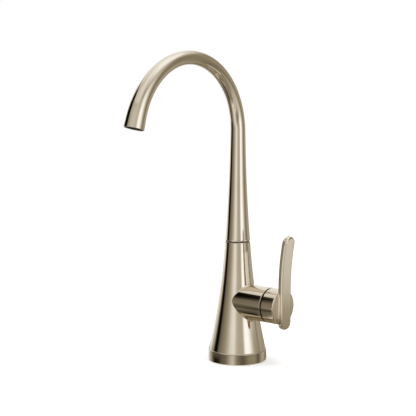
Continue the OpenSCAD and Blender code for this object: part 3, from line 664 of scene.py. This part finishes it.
shank_bore_r, shank_r, flange_r = 6.0, 11.0, 15.0
shank_low, shank_thread_top, shank_plain_low = -60.0, -8.0, -7.5
flange_top, flange_low = 13.5, 10.0
shank_plain = [(shank_bore_r, shank_low), (shank_bore_r, flange_top), (flange_r, flange_top),
               (flange_r, flange_low), (shank_r, flange_low), (shank_r, shank_plain_low)]
shank_rows = np.concatenate([
    turned(shank_plain, thread_sides),
    thread(shank_thread_top, shank_low, shank_r, pitch=1.5, depth=0.92, chamfer=1.0)])
piece("shank_with_thread", shank_rows, "faucet_body", brass, ["mounting_shank"])

inlet_low, inlet_r = -82.0, 7.1
cone_r, cone_top, inlet_bore_r = 6.1, -79.6, 3.85
tube_socket_r, tube_socket_low = 4.8, -72.0
inlet_neck_r, inlet_neck_top, inlet_thread_top = 6.4, -68.0, -69.0
inlet_inside = [(cone_r, inlet_low), (inlet_bore_r, cone_top), (inlet_bore_r, tube_socket_low),
                (tube_socket_r, tube_socket_low), (tube_socket_r, shank_low)]
hex_flat, hex_h = 17.0, 8
corner_start_r, corner_slope = 8.3, 1.732


def hexagon(down):
    """A row of the six-sided part, some way down from its top: half its width over the
    cosine of the angle from the middle of a side, and no more than a cone that takes
    the corners off at both ends."""
    a = np.linspace(0, 2 * math.pi, thread_sides, endpoint=False)
    flats = hex_flat / 2 / np.cos(a % (math.pi / 3) - math.pi / 6)
    r = np.minimum(flats, corner_start_r + corner_slope * min(down, hex_h - down))
    return np.stack([r * np.cos(a), r * np.sin(a), 0 * a + shank_low - down], -1)[None]


hex_downs = (0, 0.3, 0.6, 0.9, 4, 7.1, 7.4, 7.7, hex_h)
inlet_neck = [(inlet_neck_r, inlet_neck_top), (inlet_neck_r, inlet_thread_top)]
inlet_rows = np.concatenate(
    [turned(inlet_inside, thread_sides)] + [hexagon(down) for down in hex_downs]
    + [turned(inlet_neck, thread_sides),
       thread(inlet_thread_top, inlet_low, inlet_r, pitch=1.058, depth=0.65, chamfer=0.6)])
piece("inlet_with_thread", inlet_rows, "faucet_body", brass, ["inlet_fitting"])


# Steel pieces: the snap ring, the set screw, the screen and the washer, all stainless,
# bright from rolling with faint scratches.

def stainless():
    """Grey steel with crossed scratches as bump and as changes of gloss."""
    new, shader, place = material("stainless_steel")
    x, y, z = place.axes()
    scratches = place.vector(x * 2600, y * 240, z * 900).noise(1.0, 3.0, 0.7)
    feed(shader, Metallic=1.0,
         Base_Color=scratches.between(0.3, 0.7).mix((0.60, 0.60, 0.61, 1), (0.74, 0.74, 0.75, 1)),
         Roughness=0.2 + 0.16 * scratches, Normal=scratches.bump(0.00003, 0.5))
    return new


dress(stainless(), "spout_clip", "handle_set_screw", "outlet_screen", "metal_washer")


# Ceramic discs. Pressed and fired alumina, lapped so flat on their faces that water
# can't pass between them.

def alumina():
    """Off-white with a very fine speckle, glossier than it is matt."""
    new, shader, place = material("alumina")
    speck = place.noise(4200.0, 2.0)
    feed(shader,
         Base_Color=speck.between(0.35, 0.7).mix((0.88, 0.86, 0.81, 1), (0.80, 0.78, 0.72, 1)),
         Roughness=0.22 + 0.12 * speck, Normal=speck.bump(0.00001, 0.4))
    return new


dress(alumina(), "fixed_disc", "moving_disc")


# Studio. A pale deck, white light from all round, and a ring of light and dark cards
# that only the polished metal sees. None of it is part of the object.

def stage_grid(name, points, finish):
    """A surface of the studio from a grid of points in metres."""
    mesh = bpy.data.meshes.new(name)
    mesh.from_pydata(points.reshape(-1, 3), [],
                     grid_faces(*points.shape[:2], rows_close=False, columns_close=False))
    mesh.materials.append(finish)
    made = bpy.data.objects.new(name, mesh)
    bpy.context.scene.collection.objects.link(made)
    return made


def seen_by_eye_or_mirror(tree):
    """1 on a ray of the camera, of metal or of glass, 0 on the rays that light things."""
    camera_ray, glossy_ray, glass_ray = [
        Value(tree).node("ShaderNodeLightPath", output=kind)
        for kind in ("Is Camera Ray", "Is Glossy Ray", "Is Transmission Ray")]
    seen = camera_ray + glossy_ray + glass_ray
    return seen.maths("MINIMUM", seen, 1.0)


def deck_finish():
    """A pale matt deck. Where the camera, metal or glass sees it, a little light is
    added so that it comes out white and keeps its shadows."""
    new = bpy.data.materials.new("deck")
    new.use_nodes = True
    feed(new.node_tree.nodes["Principled BSDF"],
         Base_Color=(0.86, 0.86, 0.86, 1), Roughness=0.9, Specular_IOR_Level=0.0,
         Emission_Color=(1, 1, 1, 1),
         Emission_Strength=seen_by_eye_or_mirror(new.node_tree) * 0.32)
    return new


deck_half, deck_z = 30, -0.0004
flat_x, flat_y = np.meshgrid(np.linspace(-deck_half, deck_half, 3),
                             np.linspace(-deck_half, deck_half, 3))
stage_grid("deck", np.stack([flat_x, flat_y, np.full_like(flat_x, deck_z)], -1), deck_finish())

# The direction of the camera round the faucet, from which the profiles count.
camera_turn = -50.87


def ramp(value, stops):
    """A level that changes along a value: each stop is a place from 0 to 1 and a level.
    The colours of the ramp end at 1, so it holds half of each level."""
    half = [(place, level / 2) for place, level in stops]
    return value.node("ShaderNodeValToRGB", {"stops": half}, {"Fac": value})


def glow(name):
    """A material that only gives off light: itself, its tree and its Object coordinates."""
    new = bpy.data.materials.new(name)
    new.use_nodes = True
    tree = new.node_tree
    tree.nodes.remove(tree.nodes["Principled BSDF"])
    return new, tree, Value(tree).node("ShaderNodeTexCoord", output="Object")


weak_to_strong = [
    (0.0, (0.83, 0.69, 0.5, 1)), (0.1, (0.83, 0.74, 0.565, 1)), (0.25, (0.83, 0.745, 0.585, 1)),
    (0.36, (0.83, 0.785, 0.68, 1)), (0.54, (0.83, 0.815, 0.785, 1)),
    (0.74, (0.83, 0.85, 0.87, 1)), (1.0, (0.83, 0.885, 0.98, 1))]
strongest, strength = 0.65, 2.4


def shine(tree, half_level):
    """Sends a level out as light: warm where it is weak, as from a wall far from the
    lamps, and cool where it is strong."""
    colour = half_level.node("ShaderNodeValToRGB", {"stops": weak_to_strong},
                             {"Fac": half_level / strongest})
    light = colour.node("ShaderNodeEmission", None,
                        {"Color": colour, "Strength": strength * half_level})
    tree.links.new(light.socket, tree.nodes["Material Output"].inputs["Surface"])


def ring_finish(name, by_height, profiles, fades):
    """Light of a ring of cards. A profile lists angles round the faucet from the
    camera's side, in degrees, each with a level. The ring passes from one profile to
    the next between two heights, or two radii where it lies flat."""
    new, tree, place = glow(name)
    x, y, z = place.axes()
    c, s = math.cos(math.radians(camera_turn)), math.sin(math.radians(camera_turn))
    turn = place.maths("ARCTAN2", y * c - x * s, x * c + y * s) / (2 * math.pi) + 0.5
    out = z if by_height else place.maths("SQRT", x * x + y * y)
    half_level = None
    for profile, fade in zip(profiles, [None] + fades):
        shade = ramp(turn, [((angle + 180) / 360, level) for angle, level in profile])
        half_level = shade if half_level is None else out.between(*fade).mix(half_level, shade)
    shine(tree, half_level)
    return new


def ring_band(r0, z0, r1, z1, start=-180, stop=180):
    """A ring of the studio between two circles, or a part of it from one angle round
    the faucet to another, as the profiles count them."""
    turns = np.radians(np.linspace(start, stop, 181) + camera_turn)
    r = np.array([r0, r1])[:, None]
    z = np.array([z0, z1])[:, None]
    return np.stack([r * np.cos(turns), r * np.sin(turns), z + 0 * turns], -1)


def card(name, points, finish):
    """A surface of the studio that metal mirrors, and that neither shows nor lights
    nor shades anything else."""
    made = stage_grid(name, points, finish)
    made.visible_camera = False
    made.visible_diffuse = False
    made.visible_shadow = False
    made.visible_transmission = False


def ring_card(name, circles, by_height, profiles, fades=()):
    """A card on a ring of the studio: its two circles, then its light."""
    card(name, ring_band(*circles), ring_finish(name, by_height, profiles, list(fades)))


def even(level):
    """The profile of a card of one level."""
    return [(-180, level), (180, level)]


# Light of the studio, as profiles of (angle, level) pairs. A level of 1 makes the metal
# about as bright as the deck. First the wall and roof, from the foot of the wall to the
# middle of the roof. The black part at -113 to -85 draws the dark line down the left of
# the body and the post, and the bright part at 30 to 58 the light one on their right.
wall_foot = [
    (-180, .97), (-130, .97), (-122, .84), (-117, .6), (-112, .22), (-106, .05), (-101, .002),
    (-89, .002), (-85, .07), (-81, .2), (-73, .28), (-62, .38), (-44, .76), (-22, .93), (-10, .6),
    (0, .45), (20, .48), (27, .9), (34, 1.1), (52, 1.1), (60, .78), (72, .56), (82, .36),
    (90, .23), (98, .3), (112, .47), (130, .5), (150, .4), (180, .95)]
wall_low = [
    (-180, 1.0), (-134, .95), (-127, .7), (-119, .22), (-113, .004), (-92, .004), (-87, .07),
    (-81, .18), (-73, .24), (-64, .31), (-55, .38), (-44, .53), (-36, .71), (-28, .9), (-15, .98),
    (-8, .78), (-1, .58), (8, .53), (22, .51), (27, .65), (32, 1.15), (38, 1.3), (52, 1.25),
    (59, .98), (66, .76), (74, .57), (84, .33), (91, .25), (99, .3), (112, .46), (140, .42),
    (180, 1.0)]
wall_middle = [
    (-180, 1.0), (-130, .8), (-122, .1), (-115, .002), (-82, .004), (-79, .06), (-75, .2),
    (-60, .45), (-40, .7), (-20, .85), (0, .65), (12, .66), (22, .9), (29, 1.25), (38, 1.3),
    (48, 1.2), (58, 1.0), (68, .6), (78, .33), (90, .27), (104, .3), (112, .4), (140, .33),
    (158, .4), (169, .6), (176, .95), (180, 1.0)]
wall_high = [
    (-180, 1.0), (-140, .85), (-128, .5), (-121, .15), (-114, .002), (-84, .004), (-80, .09),
    (-76, .42), (-60, .55), (-40, .67), (-20, .68), (0, .66), (13, .54), (22, .65), (30, .95),
    (38, 1.15), (48, 1.08), (58, .87), (70, .63), (82, .43), (92, .28), (120, .34), (145, .28),
    (160, .6), (180, 1.0)]
wall_top = [
    (-180, 1.0), (-140, .8), (-128, .66), (-120, .4), (-112, .03), (-92, .01), (-87, .1),
    (-82, .55), (-72, .56), (-40, .6), (-5, .69), (8, .6), (20, .43), (30, .5), (44, .7),
    (62, .66), (82, .52), (98, .42), (130, .48), (155, .6), (180, 1.0)]
roof_edge = [
    (-180, .95), (-125, .95), (-104, .82), (-96, .6), (-88, .5), (-78, .75), (-50, .76),
    (-20, .87), (-5, .8), (6, .6), (18, .48), (34, .55), (60, .62), (80, .65), (100, .66),
    (130, .7), (160, .85), (180, .92)]
roof_middle = [
    (-180, 1.0), (-140, .95), (-110, .8), (-80, .72), (-45, .9), (-15, .92), (8, .75), (40, .92),
    (70, 1.05), (100, 1.22), (140, 1.16), (180, 1.0)]
roof_top = [(-180, 1.15), (-100, .97), (-40, 1.02), (0, 1.02), (60, 1.22), (180, 1.15)]

wall_r, wall_h, roof_h = 0.75, 0.9, 1.15
flat_card_z, card_foot_z = 0.0002, 0.0003
ring_card("wall_card", (wall_r, flat_card_z, wall_r, wall_h), True,
          [wall_foot, wall_low, wall_middle, wall_high, wall_top, roof_edge],
          [(0.045, 0.07), (0.2, 0.36), (0.46, 0.6), (0.66, 0.8), (0.82, 0.9)])
ring_card("roof_card", (wall_r, wall_h, 0.001, roof_h), True,
          [roof_edge, roof_middle, roof_top], [(0.92, 0.99), (1.01, 1.07)])

# What the side of the base ring is to show, by the direction in which it mirrors the
# camera, and the levels of the deck from the ring outward. The least levels are there
# because the hub sees the same places from above.
ring_side = [
    (-168, 1.15), (-147, .8), (-125, .38), (-110, .03), (-103, 0), (-85, .01), (-78, .03),
    (-70, .12), (-59, .17), (-52, .19), (-43, .28), (-33.5, .5), (-25, .7), (-17, .77),
    (-11, .59), (-4, .36), (7, .22), (21, .135), (31, .17), (42, .3), (55, .35), (78, .36),
    (88, .13), (94, .13), (101, .28), (114, .49), (130, .58), (140, .3), (154, .25)]
ring_radii = (0.027, 0.032, 0.038, 0.046, 0.056)
ring_least = (0, 0, 0.02, 0.08, 0.11)
behind_left, behind_right = .33, .25


def ring_sees(radius, least):
    """Profile of the deck at a radius, from what the side of the base ring is to show in
    each direction d. Such a ray starts at half that direction, so where it meets the
    deck it lies at d less asin(R sin(d / 2) / r). No level is under the least one."""
    stops = []
    for d, level in ring_side:
        over = ring_r / 1000 / radius * math.sin(math.radians(d) / 2)
        stops.append((d - math.degrees(math.asin(over)), max(level, least)))
    return [(-180, behind_left), (stops[0][0] - 8, behind_left)] + stops + [(180, behind_right)]


deck_ring = [
    (-180, .33), (-125, .33), (-118, .5), (-105, .42), (-95, .26), (-85, .22), (-77, .2),
    (-68, .18), (-60, .15), (-46, .17), (-35, .22), (-27, .42), (-19, .66), (-11, .62), (-4, .38),
    (6, .22), (15, .16), (25, .22), (35, .33), (55, .34), (67, .27), (76, .2), (86, .37),
    (96, .46), (130, .5), (180, .6)]
deck_inner = [
    (-180, .28), (-128, .27), (-104, .24), (-84, .14), (-72, .11), (-66, .08), (-57, .08),
    (-50, .2), (-40, .3), (60, .32), (100, .27), (130, .42), (148, .3), (180, .3)]
deck_under = [
    (-180, 1.1), (-170, 1.08), (-160, 1.0), (-145, .93), (-130, .9), (-120, .7),
    (-114, .4)] + deck_inner[2:]
deck_middle = [
    (-180, .32), (-165, .38), (-152, .37), (-140, .3), (-131, .3), (-125, .3), (-113, .16),
    (-90, .17), (-70, .18), (-62, .3), (-55, .5), (-46, .66), (-34, .66), (-24, .6), (-16, .5),
    (-6, .4), (4, .36), (20, .34), (36, .32), (64, .3), (90, .24), (110, .34), (138, .44),
    (156, .3), (180, .3)]
deck_edge = [
    (-180, .4), (-165, .5), (-152, .45), (-140, .3), (-131, .35), (-124, .5), (-113, .14),
    (-90, .17), (-73, .2), (-62, .4), (-52, .7), (-42, .88), (-28, .9), (-14, .78), (0, .74),
    (12, .7), (22, .62), (34, .62), (44, .48), (56, .4), (68, .36), (90, .22), (101, .3),
    (116, .38), (135, .44), (156, .32), (180, .6)]
deck_far = [
    (-180, .9), (-150, 1.0), (-135, .98), (-128, .82), (-123, .6), (-117, .3), (-110, .08),
    (-100, .12), (-88, .2), (-73, .24), (-60, .55), (-46, .84), (-32, .9), (-20, .68), (-8, .42),
    (4, .3), (20, .33), (30, .56), (45, .76), (56, .72), (66, .54), (78, .4), (90, .21),
    (101, .3), (116, .41), (135, .45), (155, .4), (180, .9)]
ring_card("deck_card", (0.0262, flat_card_z, wall_r, flat_card_z), False,
          [ring_sees(r, least) for r, least in zip(ring_radii, ring_least)]
          + [deck_ring, deck_under, deck_inner, deck_middle, deck_edge, deck_far],
          list(zip(ring_radii, ring_radii[1:]))
          + [(0.06, 0.068), (0.088, 0.094), (0.103, 0.1045), (0.18, 0.24), (0.26, 0.31),
             (0.38, 0.44)])

# A card behind the faucet leans toward it. The left of the body mirrors its bright
# inner face, while the arch looks down on its grey back.
leaning = [
    (-180, 1.15), (-166, 1.15), (-156, 1.13), (-146, 1.07), (-137, 1.0), (-127, .94), (-121, .84),
    (-116, .7), (180, .7)]
ring_card("leaning_card", (0.05, 0.078, 0.103, card_foot_z, -176, -116), True, [leaning])
ring_card("leaning_card_back", (0.05, 0.0785, 0.104, card_foot_z, -177, -115), True, [even(.3)])

# A low card in front lights the lower side of the cap and of the lever.
low_front = [
    (-180, .7), (-48, .7), (-40, .97), (-14, .97), (-8, .76), (8, .7), (16, .64), (24, .82),
    (31, .85), (38, .6), (44, .45), (180, .45)]
ring_card("low_front_card", (0.245, card_foot_z, 0.245, 0.026, -48, 44), True, [low_front])


def flag(name, middle, facing, half_width, by_height, by_side):
    """A small upright card for one face of the metal: where it stands, the way it
    faces in degrees, its levels by height in metres, and factors of them from its
    right edge, 0, to its left edge, 1, as the faucet sees it."""
    new, tree, place = glow(name)
    c, s = math.cos(math.radians(facing)), math.sin(math.radians(facing))
    x, y, z = place.axes()
    top = by_height[-1][0]
    across = (y * c - x * s - (middle[1] * c - middle[0] * s)) / (2 * half_width) + 0.5
    half_level = ramp(z / top, [(height / top, level) for height, level in by_height])
    factor = 2 * ramp(across, by_side)
    shine(tree, half_level * factor)
    side = np.array([[-1.0], [1.0]]) * half_width * np.ones((1, 2))
    height = np.ones((2, 1)) * np.array([[card_foot_z, top]])
    card(name, np.stack([middle[0] - side * s, middle[1] + side * c, height], -1), new)


# The flat front of the lever faces along x and mirrors this flag.
flag("lever_flag", middle=(0.135, 0.064), facing=-camera_turn, half_width=0.038,
     by_height=[(0, .31), (.011, .34), (.032, .45), (.05, .65), (.063, .74), (.09, .76)],
     by_side=[(0, 1.3), (0.4, 1.05), (0.6, 1.0), (1, 1.0)])

world = bpy.data.worlds.new("studio")
world.use_nodes = True
bpy.context.scene.world = world
feed(world.node_tree.nodes["Background"], Color=(1, 1, 1, 1),
     Strength=0.8 + 0.2 * seen_by_eye_or_mirror(world.node_tree))

lamp_data = bpy.data.lights.new("soft_top_lamp", "AREA")
lamp_data.shape = "DISK"
lamp_data.size = 0.9
lamp_data.energy = 6
lamp = bpy.data.objects.new("soft_top_lamp", lamp_data)
bpy.context.scene.collection.objects.link(lamp)
lamp.location = (0.35, -0.25, 1.3)
lamp.rotation_euler = (math.radians(-11), math.radians(15), 0)
lamp.visible_glossy = False
